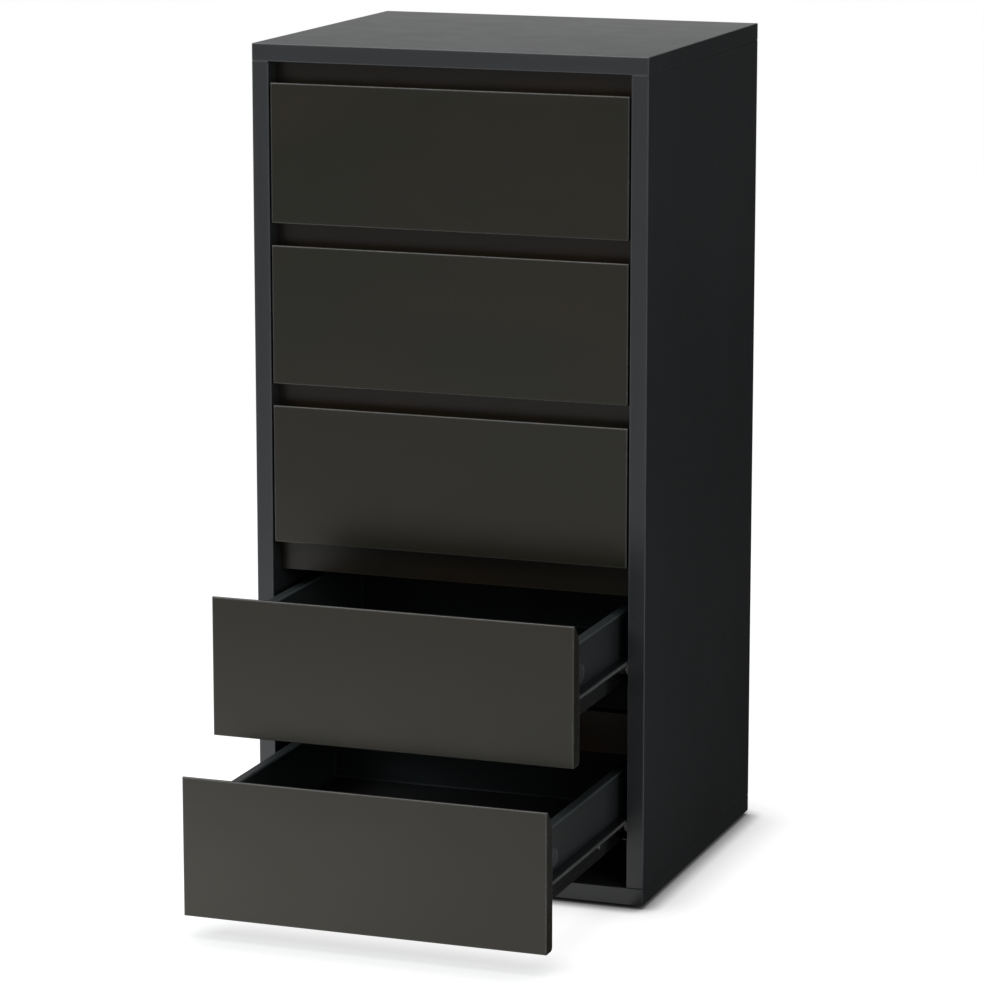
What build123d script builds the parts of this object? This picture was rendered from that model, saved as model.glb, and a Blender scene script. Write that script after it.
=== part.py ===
from build123d import *
import math
import os

# Five-drawer paper cabinet: a flat-pack carcass of laminated board with inset drawer fronts.
# X runs across the cabinet, the fronts face -Y and Z is up.
# The origin is the centre of the bottom board's underside. All sizes are in millimetres.

# Carcass
cabinet_width = 425.0
cabinet_depth = 381.0
carcass_height = 872.0
board_thickness = 18.0
board_easing = 0.8
groove_depth = 6.0
groove_play = 0.2
back_thickness = 4.0
back_inset = 6.0
glide_height = 4.0
glide_diameter = 22.0
glide_inset = 30.0
glide_stem_diameter = 4.0
glide_stem_length = 9.0

# Fronts and rails
drawer_count = 5
front_thickness = 18.0
front_gap = 23.2
front_side_gap = 2.0
front_floor_gap = 1.5
front_easing = 0.8
grip_radius = 44.0
grip_land = 3.0
front_heel_radius = 4.0
rail_thickness = 16.0
rail_setback = 2.0
rail_overlap = 10.0

# Drawer boxes
slide_gap = 12.5
side_thickness = 12.0
side_height = 72.0
side_behind_runner = 5.0
side_top_radius = 2.5
rim_drop = 28.0
bottom_thickness = 3.0
bottom_rise = 8.0
bottom_groove_depth = 5.0
bottom_groove_play = 0.2

# Roller runners
runner_gauge = 1.0
runner_web = 27.0
runner_foot = 9.0
runner_lip = 3.0
runner_side_play = 0.9
runner_under_play = 1.0
cabinet_runner_length = 350.0
cabinet_runner_lip = 1.5
channel_play = 0.6
channel_mouth = 2.0
roller_diameter = 20.0
roller_width = 6.6
roller_bore_play = 0.08
roller_end = 13.0
roller_rim_chamfer = 0.8
pin_diameter = 5.0
pin_shoulder_diameter = 8.0
pin_head_diameter = 7.5
pin_head_thickness = 0.7
pin_end_play = 0.2
roller_hub_recess = 1.2
roller_hub_play = 0.5
roller_side_play = 1.2

# Fittings
dowel_diameter = 8.0
dowel_length = 30.0
dowel_board_depth = 12.0
dowel_play = 0.05
dowel_from_edge = 45.0
cam_diameter = 15.0
cam_length = 12.0
cam_reach = 34.0
cam_from_edge = 75.0
cam_slot_width = 2.0
bolt_diameter = 6.0
bolt_board_depth = 10.0
bolt_hole_play = 0.5
drawer_cam_depth = 9.5
drawer_cam_drop = 32.0
screw_head_diameter = 7.0
screw_head_thickness = 1.1
screw_shank_diameter = 3.5
screw_shank_length = 12.0
screw_from_end = 58.0

# How far the two lowest drawers stand open
drawer_4_pull = 165.0
drawer_5_pull = 245.0
pulled_out = {4: drawer_4_pull, 5: drawer_5_pull}

# Derived places
inner_width = cabinet_width - 2 * board_thickness
inner_half = inner_width / 2
front_plane = -cabinet_depth / 2
rear_plane = cabinet_depth / 2
inner_bottom = board_thickness
inner_top = carcass_height - board_thickness
bay_pitch = (inner_top - inner_bottom) / drawer_count
front_height = bay_pitch - front_gap
front_width = inner_width - 2 * front_side_gap
back_face = rear_plane - back_inset - back_thickness
rail_face = front_plane + front_thickness + rail_setback
box_front = front_plane + front_thickness
box_half = inner_half - slide_gap
box_inner_half = box_half - side_thickness
side_length = cabinet_runner_length - side_behind_runner
box_back = box_front + side_length
roller_radius = roller_diameter / 2
flange_reach = slide_gap - runner_gauge - runner_side_play
cabinet_web_face = inner_half - runner_gauge


def front_base(number):
    """Height of the lower edge of a drawer front, with drawer 1 at the top."""
    return inner_bottom + front_floor_gap + (drawer_count - number) * bay_pitch


def front_top(number):
    return front_base(number) + front_height


def side_base(number):
    """Height of the lower edge of the drawer sides."""
    return front_top(number) - rim_drop - side_height


def flange_base(number):
    """Height of the underside of the drawer runner's rolling flange."""
    return side_base(number) - runner_gauge + runner_web - runner_gauge


def span(x_low, x_high, y_low, y_high, z_low, z_high):
    """A block between six planes."""
    block = Box(x_high - x_low, y_high - y_low, z_high - z_low)
    return Pos((x_low + x_high) / 2, (y_low + y_high) / 2, (z_low + z_high) / 2) * block


def ease(board, radius):
    """Rounds every edge of a plain board."""
    return fillet(board.edges(), radius)


def rod(diameter, start, end):
    """A round bar between two points on a line along X, Y or Z."""
    start = Vector(*start)
    end = Vector(*end)
    axis = end - start
    plane = Plane(origin=start, z_dir=axis)
    return extrude(plane * Circle(diameter / 2), amount=axis.length)


def mirrored(solid):
    return mirror(solid, about=Plane.YZ)


def back_groove():
    """The space that the back panel's groove takes out of the boards round it."""
    reach = groove_depth + groove_play
    return span(
        -inner_half - reach,
        inner_half + reach,
        back_face,
        back_face + back_thickness + groove_play,
        inner_bottom - reach,
        inner_top + reach,
    )


def joint_places(inset):
    """The front and rear places along Y of the fittings in a corner joint."""
    return [front_plane + inset, rear_plane - inset]


def corner_dowels():
    """Dowels that stand in the tops and bottoms of the side panels."""
    x = cabinet_width / 2 - board_thickness / 2
    dowels = []
    for side in (-1, 1):
        for y in joint_places(dowel_from_edge):
            top = inner_top + dowel_board_depth
            low = inner_bottom - dowel_board_depth
            dowels.append(((side * x, y, top - dowel_length), (side * x, y, top)))
            dowels.append(((side * x, y, low), (side * x, y, low + dowel_length)))
    return dowels


def rail_dowels():
    """Dowels that lie in the ends of the front rails."""
    y = rail_face + rail_thickness / 2
    dowels = []
    for number in range(1, drawer_count + 1):
        z = (rail_base(number) + rail_top(number)) / 2
        for side in (-1, 1):
            outer = side * (inner_half + dowel_board_depth)
            inner = outer - side * dowel_length
            dowels.append(((inner, y, z), (outer, y, z)))
    return dowels


def dowel_holes():
    """The space that all dowels take out of the boards."""
    return [rod(dowel_diameter, start, end) for start, end in corner_dowels() + rail_dowels()]


def cam_places():
    """Centre of each cam lock, with the height of the board face that its bolt is in."""
    places = []
    for side in (-1, 1):
        for y in joint_places(cam_from_edge):
            places.append((side, y, inner_top, -1))
            places.append((side, y, inner_bottom, 1))
    return places


def cam_holes():
    """The space that the cam locks and their bolts take out of the boards."""
    centre = cabinet_width / 2 - board_thickness / 2
    holes = []
    for side, y, face, inward in cam_places():
        z = face + inward * cam_reach
        bore_end = side * (inner_half + cam_length + groove_play)
        holes.append(rod(cam_diameter, (side * inner_half, y, z), (bore_end, y, z)))
        tip = face - inward * (bolt_board_depth + bolt_hole_play)
        hole = bolt_diameter + 2 * bolt_hole_play
        holes.append(rod(hole, (side * centre, y, z), (side * centre, y, tip)))
    return holes


def screw_places(number):
    """Y and Z of the front and rear screws that hold one cabinet runner."""
    z = flange_base(number) - roller_radius
    rear = rail_face + cabinet_runner_length - screw_from_end
    return [(rail_face + screw_from_end, z), (rear, z)]


def all_screw_places():
    places = []
    for number in range(1, drawer_count + 1):
        places += screw_places(number)
    return places


def shelf_board(low, high):
    """The top or bottom board, which covers the ends of the side panels."""
    board = span(
        -cabinet_width / 2, cabinet_width / 2, front_plane, rear_plane, low, high
    )
    return ease(board, board_easing) - back_groove() - dowel_holes() - cam_holes()


def bottom_board():
    board = shelf_board(0, board_thickness)
    for x, y in glide_places():
        board -= rod(glide_stem_diameter, (x, y, 0), (x, y, glide_stem_length))
    return board


def top_board():
    return shelf_board(inner_top, carcass_height)


def side_panel():
    """The right side panel, between the top and bottom boards."""
    panel = span(
        inner_half, cabinet_width / 2, front_plane, rear_plane, inner_bottom, inner_top
    )
    panel = ease(panel, board_easing) - back_groove() - dowel_holes() - cam_holes()
    pilot_end = inner_half + screw_shank_length - runner_gauge
    for y, z in all_screw_places():
        panel -= rod(screw_shank_diameter, (inner_half, y, z), (pilot_end, y, z))
    return panel


def back_panel():
    reach = groove_depth - groove_play
    return span(
        -inner_half - reach,
        inner_half + reach,
        back_face,
        back_face + back_thickness,
        inner_bottom - reach,
        inner_top + reach,
    )


def rail_top(number):
    """The rail above drawer 1 fills up to the top board, the others overlap two fronts."""
    if number == 1:
        return inner_top
    return front_base(number - 1) + rail_overlap


def rail_base(number):
    return front_top(number) - rail_overlap


def front_rail(number):
    rail = span(
        -inner_half,
        inner_half,
        rail_face,
        rail_face + rail_thickness,
        rail_base(number),
        rail_top(number),
    )
    lower_edges = rail.edges().filter_by(Axis.X).group_by(Axis.Z)[0]
    return fillet(lower_edges, board_easing) - dowel_holes()


def glide_places():
    x = cabinet_width / 2 - glide_inset
    return [(side * x, y) for side in (-1, 1) for y in joint_places(glide_inset)]


def floor_glides():
    """Nail-on glides that the cabinet stands on."""
    glides = []
    for x, y in glide_places():
        pad = rod(glide_diameter, (x, y, -glide_height), (x, y, 0))
        pad = chamfer(pad.edges().group_by(Axis.Z)[0], board_easing)
        stem = rod(glide_stem_diameter, (x, y, 0), (x, y, glide_stem_length))
        glides.append(pad + stem)
    return glides


def carcass_dowels():
    width = dowel_diameter - 2 * dowel_play
    return [rod(width, start, end) for start, end in corner_dowels() + rail_dowels()]


def carcass_cam_locks():
    """Cams with a driver slot in their inner face, each round the head of its bolt."""
    centre = cabinet_width / 2 - board_thickness / 2
    pieces = []
    for side, y, face, inward in cam_places():
        z = face + inward * cam_reach
        near = side * inner_half
        far = side * (inner_half + cam_length)
        radius = cam_diameter / 2 - dowel_play
        cam = rod(2 * radius, (near, y, z), (far, y, z))
        slot = Box(2 * cam_slot_width, 2 * radius, cam_slot_width)
        cam -= Pos(near, y, z) * slot
        head_room = bolt_diameter + bolt_hole_play
        cam -= rod(head_room, (side * centre, y, z), (side * centre, y, z - inward * radius * 2))
        pieces.append(cam)
        tip = face - inward * bolt_board_depth
        neck = z - inward * bolt_hole_play
        pieces.append(rod(bolt_diameter, (side * centre, y, neck), (side * centre, y, tip)))
    return pieces


def pin_and_head(x_root, x_tip, y, z, shoulder):
    """A riveted roller pin: a shoulder at its root, the shaft and a flat head at its tip."""
    way = math.copysign(1, x_tip - x_root)
    step = x_root + way * shoulder
    head = x_tip - way * pin_head_thickness
    pin = rod(pin_shoulder_diameter, (x_root, y, z), (step, y, z))
    pin += rod(pin_diameter, (step, y, z), (head, y, z))
    return pin + rod(pin_head_diameter, (head, y, z), (x_tip, y, z))


def roller(x_low, x_head_side, y, z):
    """A nylon roller between two faces, with the pin's head sunk in its hub."""
    x_high = x_low + roller_width
    wheel = rod(roller_diameter, (x_low, y, z), (x_high, y, z))
    wheel = chamfer(wheel.edges(), roller_rim_chamfer)
    bore = pin_diameter + 2 * roller_bore_play
    wheel -= rod(bore, (x_low, y, z), (x_high, y, z))
    inward = roller_hub_recess if x_head_side == x_low else -roller_hub_recess
    recess = pin_head_diameter + 2 * roller_hub_play
    return wheel - rod(recess, (x_head_side, y, z), (x_head_side + inward, y, z))


def cabinet_roller_centre(number):
    """Y and Z of the roller that carries the drawer runner's flange."""
    return rail_face + roller_radius + channel_mouth, flange_base(number) - roller_radius


def channel_top(number):
    """Height of the underside of the cabinet channel's upper flange."""
    lip_base = flange_base(number) - runner_lip + runner_gauge
    return lip_base - runner_under_play - runner_gauge


def channel_base(number):
    """Height that the drawer's own roller runs on."""
    return channel_top(number) - roller_diameter - channel_play


def drawer_roller_centre(number):
    return box_back - roller_end, channel_base(number) + roller_radius


def cabinet_roller_x():
    """Inner face of the cabinet roller, just outside the drawer runner's web."""
    return box_half + runner_gauge + roller_side_play


def drawer_roller_x():
    """Inner face of the drawer roller, whose outer face clears the channel's web."""
    return cabinet_web_face - roller_side_play - roller_width - pin_end_play


def cabinet_runner(number):
    """The right cabinet runner: a channel open to the drawer, with its roller pin in front."""
    low = channel_base(number)
    high = channel_top(number)
    mouth = box_half + runner_gauge + runner_side_play
    start = rail_face
    end = rail_face + cabinet_runner_length
    gauge = runner_gauge
    web = span(cabinet_web_face, inner_half, start, end, low - gauge, high + gauge)
    track = span(mouth, inner_half, start, end, low - gauge, low)
    lip = span(mouth, mouth + gauge, start, end, low, low + cabinet_runner_lip - gauge)
    cover_start = start + roller_diameter + 2 * channel_mouth
    cover = span(mouth, inner_half, cover_start, end, high, high + gauge)
    channel = web + track + lip + cover
    y, z = cabinet_roller_centre(number)
    inner_face = cabinet_roller_x()
    shoulder = cabinet_web_face - inner_face - roller_width - pin_end_play
    tip = inner_face + roller_hub_recess - pin_head_thickness - pin_end_play
    channel += pin_and_head(cabinet_web_face, tip, y, z, shoulder)
    for y, z in screw_places(number):
        channel -= rod(screw_shank_diameter, (cabinet_web_face, y, z), (inner_half, y, z))
    return channel


def drawer_runner(number):
    """The right drawer runner: a foot under the side, a web outside it and a rolling flange."""
    gauge = runner_gauge
    low = side_base(number) - gauge
    flange = flange_base(number)
    outer = box_half + gauge + flange_reach
    profile = Polyline(
        (box_half - runner_foot, low),
        (box_half + gauge, low),
        (box_half + gauge, flange),
        (outer - gauge, flange),
        (outer - gauge, flange + gauge - runner_lip),
        (outer, flange + gauge - runner_lip),
        (outer, flange + gauge),
        (box_half, flange + gauge),
        (box_half, low + gauge),
        (box_half - runner_foot, low + gauge),
        close=True,
    )
    plane = Plane(origin=(0, box_front, 0), x_dir=(1, 0, 0), z_dir=(0, -1, 0))
    member = extrude(plane * make_face(profile), amount=-side_length)
    y, z = drawer_roller_centre(number)
    inner_face = drawer_roller_x()
    shoulder = inner_face - pin_end_play - box_half - gauge
    tip = inner_face + roller_width - roller_hub_recess + pin_head_thickness + pin_end_play
    return member + pin_and_head(box_half + gauge, tip, y, z, shoulder)


def drawer_front(number):
    """A front with a square face, a rounded-off back above for the fingers and a rounded heel."""
    base = front_base(number)
    top = front_top(number)
    face = front_plane
    back = front_plane + front_thickness
    rise = grip_radius - (front_thickness - grip_land)
    drop = math.sqrt(grip_radius**2 - rise**2)
    turn = math.asin(drop / grip_radius) / 2
    middle = (
        back - grip_radius * (1 - math.cos(turn)),
        top - drop + grip_radius * math.sin(turn),
    )
    outline = Polyline(
        (back, top - drop), (back, base), (face, base), (face, top), (face + grip_land, top)
    )
    outline += ThreePointArc((face + grip_land, top), middle, (back, top - drop))
    plane = Plane(origin=(-front_width / 2, 0, 0), x_dir=(0, 1, 0), z_dir=(1, 0, 0))
    front = extrude(plane * make_face(outline), amount=front_width)
    heel = front.edges().filter_by(Axis.X).sort_by_distance((0, back, base))[0]
    front = fillet(heel, front_heel_radius)
    face_edges = front.faces().sort_by(Axis.Y)[0].edges()
    front = fillet(face_edges, front_easing)
    return front - bottom_groove(number)


def bottom_groove(number):
    """The space that the drawer bottom's groove takes out of the sides and the front."""
    reach = bottom_groove_depth + bottom_groove_play
    low = side_base(number) + bottom_rise
    return span(
        -box_inner_half - reach,
        box_inner_half + reach,
        box_front - reach,
        box_back,
        low,
        low + bottom_thickness + bottom_groove_play,
    )


def drawer_side(number):
    """The right drawer side, with its rounded rim, bottom groove and the bore for its cam."""
    low = side_base(number)
    side = span(box_inner_half, box_half, box_front, box_back, low, low + side_height)
    rim = side.edges().filter_by(Axis.Y).group_by(Axis.Z)[-1]
    side = fillet(rim, side_top_radius) - bottom_groove(number)
    y = box_front + cam_reach
    z = low + side_height - drawer_cam_drop
    return side - rod(cam_diameter, (box_half, y, z), (box_half - drawer_cam_depth, y, z))


def drawer_back(number):
    """The back stands on the drawer bottom, between the sides."""
    low = side_base(number) + bottom_rise + bottom_thickness
    high = side_base(number) + side_height
    board = span(
        -box_inner_half, box_inner_half, box_back - side_thickness, box_back, low, high
    )
    rim = board.edges().filter_by(Axis.X).group_by(Axis.Z)[-1]
    return fillet(rim, side_top_radius)


def drawer_bottom(number):
    reach = bottom_groove_depth - bottom_groove_play
    low = side_base(number) + bottom_rise
    return span(
        -box_inner_half - reach,
        box_inner_half + reach,
        box_front - reach,
        box_back,
        low,
        low + bottom_thickness,
    )


def cabinet_rollers(number):
    y, z = cabinet_roller_centre(number)
    inner_face = cabinet_roller_x()
    return roller(inner_face, inner_face, y, z)


def drawer_rollers(number):
    y, z = drawer_roller_centre(number)
    inner_face = drawer_roller_x()
    return roller(inner_face, inner_face + roller_width, y, z)


def runner_screws():
    """Flat-headed screws that hold the cabinet runners to the side panels."""
    screws = []
    for y, z in all_screw_places():
        head_end = cabinet_web_face - screw_head_thickness
        head = rod(screw_head_diameter, (head_end, y, z), (cabinet_web_face, y, z))
        width = screw_shank_diameter - 2 * dowel_play
        tip = cabinet_web_face + screw_shank_length
        screw = head + rod(width, (cabinet_web_face, y, z), (tip, y, z))
        screws.extend([screw, mirrored(screw)])
    return screws


def pair(solid):
    """A right-hand piece and its left-hand twin."""
    return [solid, mirrored(solid)]


def save(name, pieces, pull=0.0):
    """Writes one sub-part, moved out by how far its drawer stands open."""
    if not isinstance(pieces, list):
        pieces = [pieces]
    moved = [Pos(0, -pull, 0) * piece for piece in pieces]
    export_step(Compound(children=moved) if len(moved) > 1 else moved[0], f"parts/{name}.step")


def save_carcass():
    side = side_panel()
    save("top_board", top_board())
    save("bottom_board", bottom_board())
    save("side_panel_right", side)
    save("side_panel_left", mirrored(side))
    save("back_panel", back_panel())
    save("floor_glides", floor_glides())
    save("carcass_dowels", carcass_dowels())
    save("carcass_cam_locks", carcass_cam_locks())
    save("runner_screws", runner_screws())
    for number in range(1, drawer_count + 1):
        save(f"front_rail_{number}", front_rail(number))
        save(f"cabinet_runners_{number}", pair(cabinet_runner(number)))
        save(f"cabinet_rollers_{number}", pair(cabinet_rollers(number)))


def save_drawer(number):
    pull = pulled_out.get(number, 0.0)
    side = drawer_side(number)
    name = f"drawer_{number}"
    save(f"{name}_front", drawer_front(number), pull)
    save(f"{name}_side_right", side, pull)
    save(f"{name}_side_left", mirrored(side), pull)
    save(f"{name}_back", drawer_back(number), pull)
    save(f"{name}_bottom", drawer_bottom(number), pull)
    save(f"{name}_runners", pair(drawer_runner(number)), pull)
    save(f"{name}_rollers", pair(drawer_rollers(number)), pull)


os.makedirs("parts", exist_ok=True)
save_carcass()
for drawer_number in range(1, drawer_count + 1):
    save_drawer(drawer_number)
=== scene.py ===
import bpy
import bmesh
import math
import numpy as np
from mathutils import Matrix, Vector


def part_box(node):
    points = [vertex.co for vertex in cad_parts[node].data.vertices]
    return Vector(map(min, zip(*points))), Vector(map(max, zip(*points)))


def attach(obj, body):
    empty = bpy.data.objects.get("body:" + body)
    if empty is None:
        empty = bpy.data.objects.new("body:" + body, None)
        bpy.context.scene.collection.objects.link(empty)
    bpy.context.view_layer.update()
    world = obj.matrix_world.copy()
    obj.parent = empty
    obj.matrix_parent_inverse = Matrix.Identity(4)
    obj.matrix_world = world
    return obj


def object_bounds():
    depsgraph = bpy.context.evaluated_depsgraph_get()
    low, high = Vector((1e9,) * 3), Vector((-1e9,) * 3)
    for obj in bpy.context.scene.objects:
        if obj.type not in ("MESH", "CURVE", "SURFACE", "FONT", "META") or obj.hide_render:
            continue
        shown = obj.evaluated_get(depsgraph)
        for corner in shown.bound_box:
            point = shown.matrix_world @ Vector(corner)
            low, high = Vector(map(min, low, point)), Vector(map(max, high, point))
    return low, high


# Five-drawer paper cabinet. Metres, X across, the fronts face -Y, Z up, the floor 4 mm below the origin.
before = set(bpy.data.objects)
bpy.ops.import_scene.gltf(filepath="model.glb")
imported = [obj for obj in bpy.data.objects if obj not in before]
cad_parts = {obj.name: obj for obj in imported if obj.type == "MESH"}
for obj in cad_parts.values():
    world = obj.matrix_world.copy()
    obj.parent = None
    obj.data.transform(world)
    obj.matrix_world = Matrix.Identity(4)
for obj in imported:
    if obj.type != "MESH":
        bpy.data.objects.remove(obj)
cad_low, cad_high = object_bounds()

DRAWERS = (1, 2, 3, 4, 5)
FLOOR_HEIGHT = -0.004
ACROSS, UPWARDS = 0, 2

# Cam covers on the outer faces of the drawer sides
COVER_RADIUS = 0.0105
COVER_RISE = 0.0009
COVER_SKIRT_RADIUS = 0.0069
COVER_SKIRT_DEPTH = 0.003
COVER_BEHIND_FRONT = 0.034
COVER_BELOW_RIM = 0.032

# Screws through the web of the drawer runners
RUNNER_GAUGE = 0.001
SCREW_HEAD_RADIUS = 0.0031
SCREW_HEAD_RISE = 0.0005
SCREW_SUNK = 0.0004
SCREWS_BEHIND_FRONT = (0.014, 0.172, 0.318)
SCREW_ABOVE_SIDE = 0.013
SLOT_HALF_WIDTH = 0.00045
SLOT_DEPTH = 0.0007
SLOT_REACH = 0.0019

BUTTON_COLUMNS = 40

WHITE = (1.0, 1.0, 1.0)
BLACK = (0.0, 0.0, 0.0)


# ---------------------------------------------------------------- shader expressions

# A Mix node's colour sockets go by number, because its number and vector sockets share their names.
MIX_FACTOR, MIX_FIRST, MIX_SECOND, MIX_RESULT = 0, 6, 7, 2


class Value:
    """A socket in a shader. Each operator adds one Math node."""

    def __init__(self, tree, socket):
        self.tree = tree
        self.socket = socket

    def math(self, operation, *others, first=None):
        node = self.tree.nodes.new("ShaderNodeMath")
        node.operation = operation
        for place, item in zip(node.inputs, (self if first is None else first, *others)):
            join(self.tree, item, place)
        return Value(self.tree, node.outputs[0])

    def __add__(self, other):
        return self.math("ADD", other)

    def __radd__(self, other):
        return self.math("ADD", self, first=other)

    def __sub__(self, other):
        return self.math("SUBTRACT", other)

    def __rsub__(self, other):
        return self.math("SUBTRACT", self, first=other)

    def __mul__(self, other):
        return self.math("MULTIPLY", other)

    def __rmul__(self, other):
        return self.math("MULTIPLY", self, first=other)

    def __rtruediv__(self, other):
        return self.math("DIVIDE", self, first=other)

    def __pow__(self, other):
        return self.math("POWER", other)

    def __abs__(self):
        return self.math("ABSOLUTE")

    def least(self, other):
        return self.math("MINIMUM", other)

    def most(self, other):
        return self.math("MAXIMUM", other)

    def sine(self):
        return self.math("SINE")

    def root(self):
        return self.math("SQRT")


def join(tree, item, place):
    """Links a socket to a place, or sets the place's own value. A colour comes without its alpha."""
    if isinstance(item, Value):
        tree.links.new(item.socket, place)
    elif place.type == "RGBA":
        place.default_value = (*item, 1.0)
    else:
        place.default_value = item


class Graph:
    """A node tree. Every node but Math comes from the one method node()."""

    def __init__(self, tree):
        self.tree = tree
        tree.nodes.clear()

    def node(self, kind, settings, sockets, output=0):
        """Adds a node: settings first, then socket values or links. Gives one of its outputs, if any."""
        node = self.tree.nodes.new(kind)
        for setting, value in settings.items():
            setattr(node, setting, value)
        for socket, item in sockets.items():
            join(self.tree, item, node.inputs[socket])
        if node.outputs:
            return Value(self.tree, node.outputs[output])

    def ramp(self, value, low, high, start=0.0, end=1.0):
        """Smooth rise from start to end as the value goes from low to high."""
        return self.node(
            "ShaderNodeMapRange", {"interpolation_type": "SMOOTHSTEP"},
            {"Value": value, "From Min": low, "From Max": high, "To Min": start, "To Max": end},
        )

    def blend(self, factor, first, second):
        """Mixes two colours by a factor."""
        return self.node(
            "ShaderNodeMix", {"data_type": "RGBA"},
            {MIX_FACTOR: factor, MIX_FIRST: first, MIX_SECOND: second}, MIX_RESULT,
        )

    def seen_by(self, ray):
        """One for rays of a kind, such as Is Camera Ray, and zero for all others."""
        return self.node("ShaderNodeLightPath", {}, {}, ray)


class Finish(Graph):
    """A surface finish. Constants go on the shader's own sockets, varying values through paint()."""

    def __init__(self, name, colour, roughness, **fixed):
        self.material = bpy.data.materials.new(name)
        self.material.use_nodes = True
        super().__init__(self.material.node_tree)
        sockets = {"Base Color": colour, "Roughness": roughness}
        sockets.update((socket.replace("_", " "), item) for socket, item in fixed.items())
        self.shader = self.node("ShaderNodeBsdfPrincipled", {}, sockets)
        self.node("ShaderNodeOutputMaterial", {}, {"Surface": self.shader})
        self.place = self.node("ShaderNodeTexCoord", {}, {}, "Object")

    def paint(self, socket, item):
        join(self.tree, item, self.shader.socket.node.inputs[socket])

    def noise(self, scale, detail, roughness, distortion=0.0):
        """Noise on the object's coordinates, its scale in repeats per metre, alike or for each axis."""
        if not isinstance(scale, tuple):
            scale = (scale,) * 3
        place = self.node("ShaderNodeMapping", {}, {"Vector": self.place, "Scale": scale})
        return self.node(
            "ShaderNodeTexNoise", {},
            {"Vector": place, "Scale": 1.0, "Detail": detail,
             "Roughness": roughness, "Distortion": distortion},
        )

    def axes(self):
        """X, Y and Z of the point on the surface."""
        first = self.node("ShaderNodeSeparateXYZ", {}, {"Vector": self.place})
        return [Value(self.tree, socket) for socket in first.socket.node.outputs]

    def openness(self, reach):
        """One on an open surface, falling to zero where other things crowd it within a reach in metres."""
        return self.node("ShaderNodeAmbientOcclusion", {"samples": 12}, {"Distance": reach}, "AO")

    def relief(self, height, depth, strength):
        """A bump of a height from 0 to 1, as deep as given in metres."""
        self.paint("Normal", self.node(
            "ShaderNodeBump", {}, {"Strength": strength, "Distance": depth, "Height": height}, "Normal"))

    def cover(self, thing):
        """Puts the finish in each of a piece's material slots."""
        if not thing.material_slots:
            thing.data.materials.append(self.material)
        for place in thing.material_slots:
            place.material = self.material


def near_edge(finish, low, high):
    """Distance from a board's nearest edge: the middle one of the distances to its three pairs of faces."""
    gaps = []
    for point, start, end in zip(finish.axes(), low, high):
        gaps.append(abs(point - start).least(abs(end - point)))
    first, second, third = gaps
    return first.least(second).most(first.most(second).least(third))


def shade(colour, amount):
    return tuple(part * amount for part in colour)


def drawn_out(axis, across, along):
    """A noise scale for each axis, the same across a board and another along it."""
    scale = [across] * 3
    scale[axis] = along
    return tuple(scale)


# ---------------------------------------------------------------- finishes

def laminate(name, node, axis, wear_and_highlight, colour, worn_and_highlight_colour, roughness, brown=None, pore=0.4, gloss=0.5, texture=0.3,
             sheen=WHITE):
    """Satin laminate: fine pores along the board's axis, soft brownish patches, pale edges and a fine
    texture. The pale edges are partly abrasion and partly a painted highlight along the arrises. The edge
    tuple says how much of the pale edge colour shows on the upper, the upright and the lower edges, and sheen
    is the tint of what the lacquer mirrors."""
    low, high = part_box(node)
    upper, upright, lower = wear_and_highlight
    finish = Finish(name, colour, roughness, IOR=1.65, Specular_IOR_Level=gloss, Specular_Tint=sheen)
    point = finish.axes()
    pores = finish.noise(drawn_out(axis, 900.0, 22.0), detail=4.0, roughness=0.62)
    streaks = finish.noise(drawn_out(axis, 150.0, 3.2), detail=3.0, roughness=0.5, distortion=0.4)
    patches = finish.noise(drawn_out(axis, 11.0, 4.0), detail=2.0, roughness=0.5, distortion=0.6)
    rubbed = finish.noise(19.0, detail=4.0, roughness=0.6, distortion=0.8)
    pebble = finish.noise(1300.0, detail=2.0, roughness=0.5)

    body = finish.blend(streaks, shade(colour, 0.84), shade(colour, 1.16))
    body = finish.blend(finish.ramp(patches, 0.36, 0.66), body, brown or shade(colour, 1.12))
    from_end = (point[axis] - low[axis]).least(high[axis] - point[axis])
    dark = finish.ramp(pores, 0.44, 0.30) * finish.ramp(from_end, 0.0005, 0.002)
    body = finish.blend(dark * pore, body, shade(colour, 0.4))

    # Pale edge colour: partly abrasion, partly a painted highlight. The upper edges, where the light from
    # above catches them, get the largest share.
    top_edge = finish.ramp(point[UPWARDS], high.z - 0.004, high.z - 0.0015)
    low_edge = finish.ramp(point[UPWARDS], low.z + 0.004, low.z + 0.0015)
    share = upright + top_edge * (upper - upright) + low_edge * (lower - upright)
    pale = finish.ramp(near_edge(finish, low, high), 0.0019, 0.0007) * share
    pale = pale * finish.ramp(rubbed, 0.35, 0.62, 0.7, 1.0)

    finish.paint("Base Color", finish.blend(pale, body, worn_and_highlight_colour))
    finish.paint("Roughness", roughness + (rubbed - 0.5) * 0.10 + (streaks - 0.5) * 0.05 + pale * 0.04)
    finish.relief(pebble * 0.6 + pores * 0.4, 0.00005, texture)
    finish.cover(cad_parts[node])


def foil(name, node, colour, roughness):
    """Smooth vinyl foil wrapped on fibreboard: faint orange peel, mottled gloss and paler edges, which are
    partly abrasion and partly a painted highlight along the arrises.
    """
    low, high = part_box(node)
    finish = Finish(name, colour, roughness, Specular_IOR_Level=0.35)
    peel = finish.noise(420.0, detail=2.0, roughness=0.5)
    patches = finish.noise(9.0, detail=3.0, roughness=0.6, distortion=0.5)
    # Paler edges: a painted highlight along the arrises, broken up in patches like abrasion.
    pale = finish.ramp(near_edge(finish, low, high), 0.0022, 0.0010)
    pale = pale * finish.ramp(patches, 0.3, 0.6, 0.6, 1.0)
    body = finish.blend(patches, shade(colour, 0.86), shade(colour, 1.14))
    finish.paint("Base Color", finish.blend(pale * 0.9, body, shade(colour, 3.0)))
    finish.paint("Roughness", roughness + (patches - 0.5) * 0.14)
    finish.relief(peel, 0.00006, 0.35)
    finish.cover(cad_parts[node])


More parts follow.
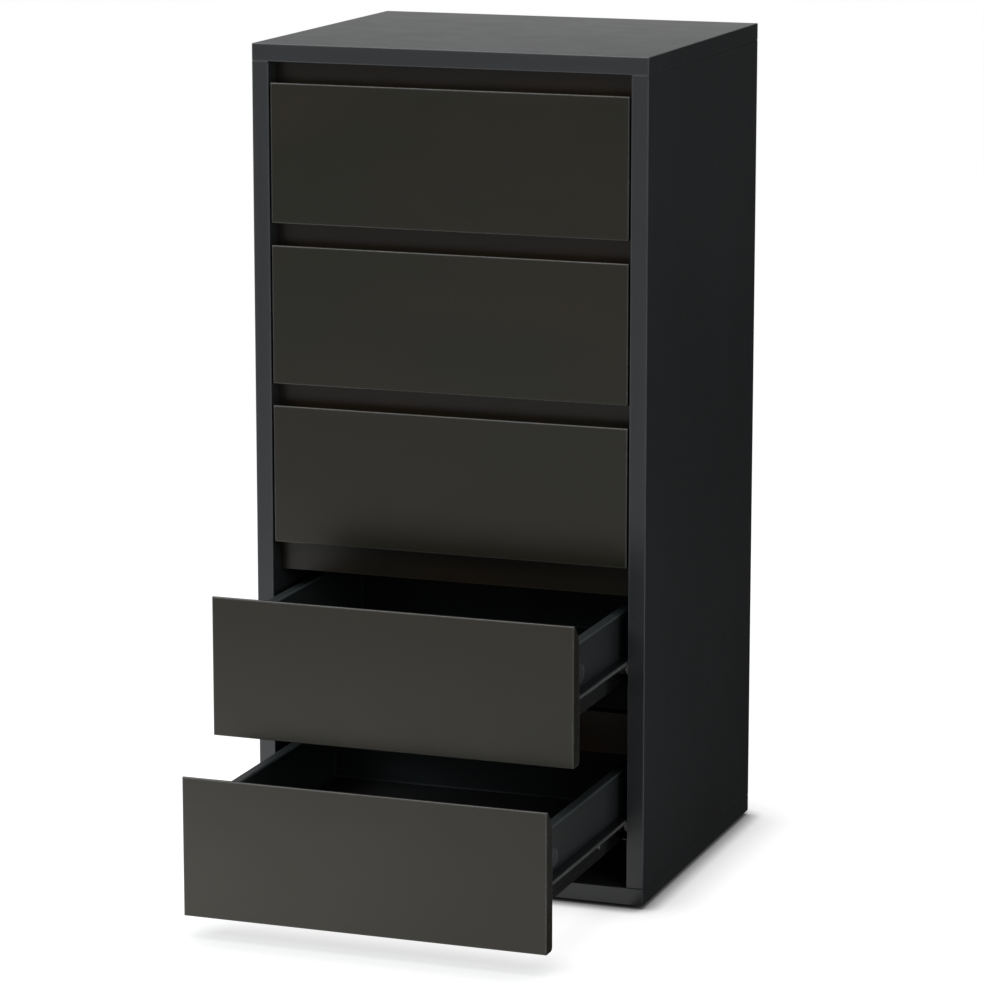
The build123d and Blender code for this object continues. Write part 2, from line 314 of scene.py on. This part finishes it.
def hardboard(name, colour, upright):
    """Painted hardboard: mottled fibres, with the imprint of a woven screen, which runs across the board and
    up or back along it."""
    finish = Finish(name, colour, 0.6)
    across, deep, up = finish.axes()
    fibres = finish.noise(160.0, detail=6.0, roughness=0.7, distortion=1.2)
    mottle = finish.noise(24.0, detail=3.0, roughness=0.6)
    body = finish.blend(finish.ramp(fibres, 0.3, 0.7), shade(colour, 0.7), shade(colour, 1.35))
    body = finish.blend(finish.ramp(mottle, 0.35, 0.65, 0.0, 0.35), body, shade(colour, 0.75))
    finish.paint("Base Color", body)
    finish.paint("Roughness", finish.ramp(fibres, 0.3, 0.7, 0.52, 0.72))
    wires = 2 * math.pi / 0.0016
    weave = (across * wires).sine() * ((up if upright else deep) * wires).sine()
    finish.relief(weave * 0.35 + fibres * 0.65, 0.00018, 0.6)
    return finish


def runner_steel(name, lip_node=None):
    """Black epoxy-coated steel: a little orange peel and fine rub marks along the run. The outer lip of a
    drawer's runner gets a painted highlight, paler and broken up by the rub marks."""
    colour = (0.007, 0.0074, 0.0080)
    finish = Finish(name, colour, 0.27, Coat_Weight=0.15, Coat_Roughness=0.12)
    rubs = finish.noise((700.0, 9.0, 700.0), detail=3.0, roughness=0.6)
    peel = finish.noise(520.0, detail=2.0, roughness=0.5)
    marks = finish.ramp(rubs, 0.60, 0.74)
    body = finish.blend(marks * 0.4, colour, (0.03, 0.03, 0.031))
    if lip_node:
        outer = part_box(lip_node)[1].x
        # A painted highlight along the outer lip, broken up by the rub marks.
        lip = finish.ramp(abs(finish.axes()[ACROSS]), outer - 0.0016, outer - 0.0010)
        body = finish.blend(lip * finish.ramp(rubs, 0.3, 0.6, 0.6, 1.0), body, (0.10, 0.102, 0.105))
    finish.paint("Base Color", body)
    finish.paint("Roughness", 0.25 + marks * 0.14 + (peel - 0.5) * 0.05)
    finish.relief(peel, 0.00004, 0.3)
    return finish


def roller_nylon(name, node):
    """Moulded white nylon, greyed where the tread runs, with a fine flow mark."""
    low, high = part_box(node)
    centre = (low + high) / 2
    radius = (high.z - low.z) / 2
    finish = Finish(name, (0.74, 0.74, 0.71), 0.4, Subsurface_Weight=0.08,
                    Subsurface_Radius=(0.002, 0.002, 0.002), Subsurface_Scale=1.0)
    across, deep, up = finish.axes()
    behind = deep - centre.y
    above = up - centre.z
    outwards = (behind * behind + above * above).root()
    tread = finish.ramp(outwards, radius - 0.0009, radius - 0.0002)
    grime = finish.noise(300.0, detail=4.0, roughness=0.65)
    flow = finish.noise(120.0, detail=2.0, roughness=0.5, distortion=1.0)
    body = finish.blend(flow, (0.70, 0.70, 0.67), (0.78, 0.78, 0.75))
    grey = tread * finish.ramp(grime, 0.35, 0.65, 0.15, 0.5)
    finish.paint("Base Color", finish.blend(grey, body, (0.34, 0.34, 0.32)))
    finish.paint("Roughness", 0.38 + (grime - 0.5) * 0.16)
    finish.relief(grime, 0.00004, 0.3)
    finish.cover(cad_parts[node])


def moulded(name, colour, roughness, pitting):
    """Moulded plastic with an even spark-eroded texture of so many pits per metre."""
    finish = Finish(name, colour, roughness)
    pits = finish.noise(pitting, detail=3.0, roughness=0.6)
    dull = finish.noise(40.0, detail=3.0, roughness=0.6)
    finish.paint("Base Color", finish.blend(dull, shade(colour, 0.8), shade(colour, 1.25)))
    finish.paint("Roughness", roughness + (dull - 0.5) * 0.18)
    finish.relief(pits, 0.00006, 0.5)
    return finish


def beech():
    """Turned beech with its flecks along the dowel."""
    finish = Finish("dowel_wood", (0.55, 0.38, 0.21), 0.62)
    flecks = finish.noise((900.0, 900.0, 160.0), detail=3.0, roughness=0.6)
    finish.paint("Base Color", finish.blend(flecks, (0.44, 0.29, 0.15), (0.64, 0.47, 0.28)))
    finish.paint("Roughness", 0.55 + flecks * 0.15)
    finish.relief(flecks, 0.0001, 0.4)
    return finish


def plated(name, colour, roughness):
    """Bare zinc alloy or zinc plate, with tumbling marks and a dull bloom."""
    finish = Finish(name, colour, roughness, Metallic=1.0)
    marks = finish.noise(900.0, detail=3.0, roughness=0.65)
    bloom = finish.noise(130.0, detail=3.0, roughness=0.6)
    finish.paint("Base Color", finish.blend(bloom, shade(colour, 0.82), shade(colour, 1.08)))
    finish.paint("Roughness", roughness + (bloom - 0.5) * 0.2 + (marks - 0.5) * 0.1)
    finish.relief(marks, 0.00003, 0.5)
    return finish


# ---------------------------------------------------------------- new pieces

def in_scene(thing):
    bpy.context.scene.collection.objects.link(thing)
    return thing


def surface(name, sheets):
    """One object from sheets of points: each is a grid of rows by columns that closes on itself by columns.
    Its first and last rows may each shrink to one point, which closes the end."""
    points = []
    faces = []
    count = 0
    for sheet in sheets:
        rows, columns = sheet.shape[:2]
        index = np.arange(rows * columns).reshape(rows, columns) + count
        right = np.roll(index, -1, axis=1)
        quads = np.stack([index[:-1], right[:-1], right[1:], index[1:]], axis=-1)
        points.append(sheet.reshape(-1, 3))
        faces.append(quads.reshape(-1, 4))
        count += rows * columns
    mesh = bpy.data.meshes.new(name)
    mesh.from_pydata(np.concatenate(points).tolist(), [], np.concatenate(faces).tolist())
    work = bmesh.new()
    work.from_mesh(mesh)
    bmesh.ops.remove_doubles(work, verts=work.verts, dist=1e-7)
    bmesh.ops.recalc_face_normals(work, faces=work.faces)
    work.to_mesh(mesh)
    work.free()
    mesh.shade_smooth()
    return in_scene(bpy.data.objects.new(name, mesh))


def button(centre, side, radii, heights, slotted=False):
    """A turned button on a wall that faces along X, on the side given as 1 or -1: each row is a ring with its
    own radius and height. On a slotted one the height falls by the slots' depth wherever a raised ring passes
    within a slot's half width of the button's upright or level middle line."""
    turn = np.linspace(0, 2 * np.pi, BUTTON_COLUMNS, endpoint=False)
    radius = radii[:, None]
    level = np.cos(turn)[None] * radius
    rise = np.sin(turn)[None] * radius
    height = np.broadcast_to(heights[:, None], level.shape)
    if slotted:
        on_cross = np.minimum(abs(level), abs(rise)) < SLOT_HALF_WIDTH
        height = height - SLOT_DEPTH * (on_cross & (radius < SLOT_REACH) & (height > 0))
    return np.stack([centre[0] + side * height, centre[1] + level, centre[2] + rise], axis=-1)


def cam_covers(number):
    """Press-in covers over the cam bores, one on the outer face of each drawer side: a flat cap, a shallow
    ring groove and a rounded rim, on a short skirt that stands in the bore."""
    cap_radii = np.array([0.0, 0.3, 0.6, 0.70, 0.74, 0.78, 0.84, 0.93, 0.98, 1.0]) * COVER_RADIUS
    cap_heights = np.array([0.8, 0.8, 0.8, 0.8, 0.45, 0.8, 1.0, 0.92, 0.6, 0.25]) * COVER_RISE
    underside = 0.00003
    radii = np.append(cap_radii, [COVER_RADIUS, COVER_SKIRT_RADIUS, COVER_SKIRT_RADIUS, 0.0])
    heights = np.append(cap_heights, [underside, underside, -COVER_SKIRT_DEPTH, -COVER_SKIRT_DEPTH])
    sheets = []
    for side, node in ((1, f"drawer_{number}_side_right"), (-1, f"drawer_{number}_side_left")):
        low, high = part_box(node)
        outer_face = high.x if side > 0 else low.x
        centre = (outer_face, low.y + COVER_BEHIND_FRONT, high.z - COVER_BELOW_RIM)
        sheets.append(button(centre, side, radii, heights))
    return surface(f"drawer_{number}_cam_covers", sheets)


def runner_screws(number):
    """Countersunk screws with a raised head and a cross slot that hold each runner's web to the drawer side.
    The head is part of a flattened ball, closed by a disc just under the web's face."""
    low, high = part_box(f"drawer_{number}_side_right")
    part = np.array([0.0, 0.12, 0.24, 0.36, 0.48, 0.60, 0.72, 0.84, 0.94, 1.0, 1.0, 0.0])
    heights = SCREW_HEAD_RISE * np.sqrt(1 - (part * 0.9) ** 2)
    heights[-2:] = -SCREW_SUNK
    sheets = []
    for side in (1, -1):
        for behind in SCREWS_BEHIND_FRONT:
            centre = (side * (high.x + RUNNER_GAUGE), low.y + behind, low.z + SCREW_ABOVE_SIDE)
            sheets.append(button(centre, side, part * SCREW_HEAD_RADIUS, heights, slotted=True))
    return surface(f"drawer_{number}_runner_screws", sheets)


# ---------------------------------------------------------------- the cabinet's boards

# Each look's edge colour is a paler tone for the board edges: partly abrasion, partly a painted highlight.
CARCASS = {"colour": (0.0225, 0.0241, 0.0259), "worn_and_highlight_colour": (0.052, 0.055, 0.059), "roughness": 0.30}
FRONT = {
    "colour": (0.0086, 0.0089, 0.0054), "worn_and_highlight_colour": (0.066, 0.068, 0.069), "roughness": 0.25,
    "brown": (0.0130, 0.0104, 0.0064), "pore": 0.15, "texture": 0.12, "sheen": (1.0, 0.965, 0.89),
}
# The rails' laminate is darker than the carcass's: painted shade for the recess behind the fronts, where the
# rails sit.
SHADED_RAIL = {
    "colour": (0.0110, 0.0088, 0.0058), "worn_and_highlight_colour": (0.0220, 0.0176, 0.0116), "roughness": 0.32,
    "brown": (0.014, 0.0086, 0.0050), "gloss": 0.38,
}
FOIL = (0.0195, 0.0232, 0.0242)

# The tuples give the share of that pale edge colour, partly painted highlight, on the upper, the upright and
# the lower edges.
laminate("top_board_laminate", "top_board", ACROSS, (0.9, 0.9, 0.55), **CARCASS)
laminate("bottom_board_laminate", "bottom_board", ACROSS, (0.15, 0.8, 0.5), **CARCASS)
laminate("left_panel_laminate", "side_panel_left", UPWARDS, (0.0, 0.8, 0.0), **CARCASS)
laminate("right_panel_laminate", "side_panel_right", UPWARDS, (0.0, 0.8, 0.0), **CARCASS)
for number in DRAWERS:
    laminate(f"rail_{number}_laminate", f"front_rail_{number}", ACROSS, (0.3, 0.3, 0.6), **SHADED_RAIL)
    laminate(f"front_{number}_laminate", f"drawer_{number}_front", ACROSS, (1.0, 0.6, 0.3), **FRONT)
    for board in ("side_left", "side_right", "back"):
        foil(f"drawer_{number}_{board}_foil", f"drawer_{number}_{board}", FOIL, 0.48)

back_finish = hardboard("back_hardboard", (0.020, 0.020, 0.021), upright=True)
bottom_finish = hardboard("drawer_bottom_hardboard", (0.022, 0.022, 0.023), upright=False)
back_finish.cover(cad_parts["back_panel"])


# ---------------------------------------------------------------- the cabinet's fittings

channel_finish = runner_steel("channel_steel")
runner_finish = runner_steel("runner_steel", "drawer_1_runners")
glide_finish = moulded("glide_plastic", (0.015, 0.015, 0.015), 0.5, 650.0)
cover_finish = moulded("cover_plastic", (0.040, 0.043, 0.047), 0.30, 900.0)
screw_finish = plated("screw_steel", (0.52, 0.52, 0.53), 0.30)
cam_finish = plated("fitting_zinc", (0.50, 0.50, 0.50), 0.38)
dowel_finish = beech()

glide_finish.cover(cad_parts["floor_glides"])
cam_finish.cover(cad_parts["carcass_cam_locks"])
screw_finish.cover(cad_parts["runner_screws"])
dowel_finish.cover(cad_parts["carcass_dowels"])

for number in DRAWERS:
    bottom_finish.cover(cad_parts[f"drawer_{number}_bottom"])
    runner_finish.cover(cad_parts[f"drawer_{number}_runners"])
    channel_finish.cover(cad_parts[f"cabinet_runners_{number}"])
    roller_nylon(f"cabinet_rollers_{number}_nylon", f"cabinet_rollers_{number}")
    roller_nylon(f"drawer_{number}_rollers_nylon", f"drawer_{number}_rollers")

    covers = cam_covers(number)
    cover_finish.cover(covers)
    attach(covers, f"drawer_{number}")

    screws = runner_screws(number)
    screw_finish.cover(screws)
    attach(screws, f"drawer_{number}")


# ---------------------------------------------------------------- floor, light and camera

def flat_sheet(name, corners):
    """One four-sided face through its corners, in the order round its edge."""
    mesh = bpy.data.meshes.new(name)
    mesh.from_pydata(corners, [], [(0, 1, 2, 3)])
    return in_scene(bpy.data.objects.new(name, mesh))


def pale_floor():
    """A flat floor, lit as pale paint. To the camera it is white but for the soft shadow close round the
    object, and polished surfaces see the bright patch of floor before the cabinet."""
    half = 20.0
    corners = [(-half, -half), (half, -half), (half, half), (-half, half)]
    floor = flat_sheet("floor", [(x, y, FLOOR_HEIGHT) for x, y in corners])
    paint = Finish("floor_paint", (0.80, 0.80, 0.80), 0.9, Specular_IOR_Level=0.0, Emission_Strength=1.0)
    across, deep, up = paint.axes()
    camera_sees = paint.seen_by("Is Camera Ray")
    gloss_sees = paint.seen_by("Is Glossy Ray")
    contact = paint.openness(0.02)
    beneath = paint.openness(0.07)
    white = contact ** 2.0 * beneath ** 0.9 * 0.95
    patch_x, patch_y = -0.6, -0.5
    beside = across - patch_x
    behind = deep - patch_y
    bright_patch = 0.29 + 1.1 / (1.0 + (beside * beside + behind * behind) * 3.0)
    lit = paint.blend(gloss_sees, (0.8, 0.8, 0.8), BLACK)
    paint.paint("Base Color", paint.blend(camera_sees, lit, (0.3, 0.3, 0.3)))
    glow = camera_sees * white + gloss_sees * bright_patch * beneath
    paint.paint("Emission Color", paint.node(
        "ShaderNodeCombineColor", {}, {"Red": glow, "Green": glow, "Blue": glow}))
    paint.cover(floor)


def reflection_darkening_card(name, corners):
    """A dark card on the cabinet's right that only polished surfaces see: it paints dark reflections where
    the lit floor would show.
    """
    card = flat_sheet(name, corners)
    card.visible_camera = False
    card.visible_diffuse = False
    card.visible_shadow = False
    paper = Finish(name + "_paper", (0.01, 0.01, 0.01), 1.0, Specular_IOR_Level=0.0, Emission_Color=WHITE,
                   Emission_Strength=0.02)
    paper.cover(card)


def surroundings(fill, wall, ceiling):
    """A studio with a pale ceiling over greyer walls, as polished surfaces see it: white to the camera and
    through clear parts, and a dim even fill as light."""
    world = bpy.data.worlds.new("studio")
    bpy.context.scene.world = world
    world.use_nodes = True
    studio = Graph(world.node_tree)
    direction = studio.node("ShaderNodeTexCoord", {}, {}, "Generated")
    upwards = studio.node("ShaderNodeSeparateXYZ", {}, {"Vector": direction}, "Z")
    mirrored = studio.ramp(upwards, 0.3, 0.6, wall, ceiling)
    seen = studio.seen_by("Is Camera Ray").most(studio.seen_by("Is Transmission Ray"))
    gloss_sees = studio.seen_by("Is Glossy Ray")
    room = gloss_sees * mirrored + (1.0 - gloss_sees) * fill
    light = studio.node(
        "ShaderNodeBackground", {}, {"Color": WHITE, "Strength": seen + (1.0 - seen) * room})
    studio.node("ShaderNodeOutputWorld", {}, {"Surface": light})


def look_along(thing, direction):
    thing.rotation_mode = "QUATERNION"
    thing.rotation_quaternion = direction.to_track_quat("-Z", "Y")


def soft_box(name, where, aim, width, height, power, colour=WHITE, mirrored=True):
    """A flat soft light that shines from a place towards a point."""
    data = bpy.data.lights.new(name, "AREA")
    data.shape = "RECTANGLE"
    data.size = width
    data.size_y = height
    data.energy = power
    data.color = colour
    lamp = in_scene(bpy.data.objects.new(name, data))
    lamp.location = where
    look_along(lamp, Vector(aim) - Vector(where))
    lamp.visible_camera = False
    lamp.visible_glossy = mirrored


def photograph_camera():
    """The viewing angle of the photograph: 19.84 degrees to the right and 11.70 degrees down."""
    turn = math.radians(19.84)
    dip = math.radians(11.70)
    data = bpy.data.cameras.new("camera")
    data.sensor_width = 36.0
    data.lens = 155.20
    data.clip_end = 60.0
    camera = in_scene(bpy.data.objects.new("camera", data))
    camera.location = (1.48567, -4.17528, 1.30046)
    level = math.cos(dip)
    look_along(camera, Vector((-math.sin(turn) * level, math.cos(turn) * level, -math.sin(dip))))
    bpy.context.scene.camera = camera


pale_floor()

# The cards paint dark reflections. The standing card is what the right side panel mirrors. The lying card's
# near edge starts under the lowest front's right end and runs the way in which that end and the panel mirror
# the floor, so that they mirror a dark floor there.
CARD_SIDE = 0.62
CARD_NEAR = 0.2
CARD_REAR = 4.0
CARD_TOP = 2.0
LYING_HEIGHT = FLOOR_HEIGHT + 0.0005
reflection_darkening_card("standing_card", [
    (CARD_SIDE, CARD_NEAR, 0.0), (CARD_SIDE, CARD_REAR, 0.0),
    (CARD_SIDE, CARD_REAR, CARD_TOP), (CARD_SIDE, CARD_NEAR, CARD_TOP)])
reflection_darkening_card("lying_card", [
    (0.195, -0.46, LYING_HEIGHT), (CARD_SIDE, 0.40, LYING_HEIGHT),
    (CARD_SIDE, CARD_REAR, LYING_HEIGHT), (cad_high.x, CARD_REAR, LYING_HEIGHT)])

surroundings(fill=0.15, wall=0.13, ceiling=1.0)
soft_box("front_left_light", where=(-2.0, -2.4, 2.0), aim=(0.0, 0.0, 0.35), width=1.6, height=1.6, power=55.0,
         colour=(0.90, 0.96, 1.0), mirrored=False)
soft_box("overhead_light", where=(-0.4, -0.9, 2.9), aim=(0.0, 0.0, 0.4), width=2.4, height=2.0, power=34.0)
soft_box("rear_light", where=(-0.5, 1.6, 0.90), aim=(-0.5, 0.0, 0.90), width=1.5, height=0.45, power=1.0)
soft_box("right_fill", where=(2.3, -1.7, 1.2), aim=(0.0, 0.0, 0.4), width=1.4, height=1.4, power=16.0,
         mirrored=False)
photograph_camera()
bpy.context.scene.view_settings.view_transform = "Standard"
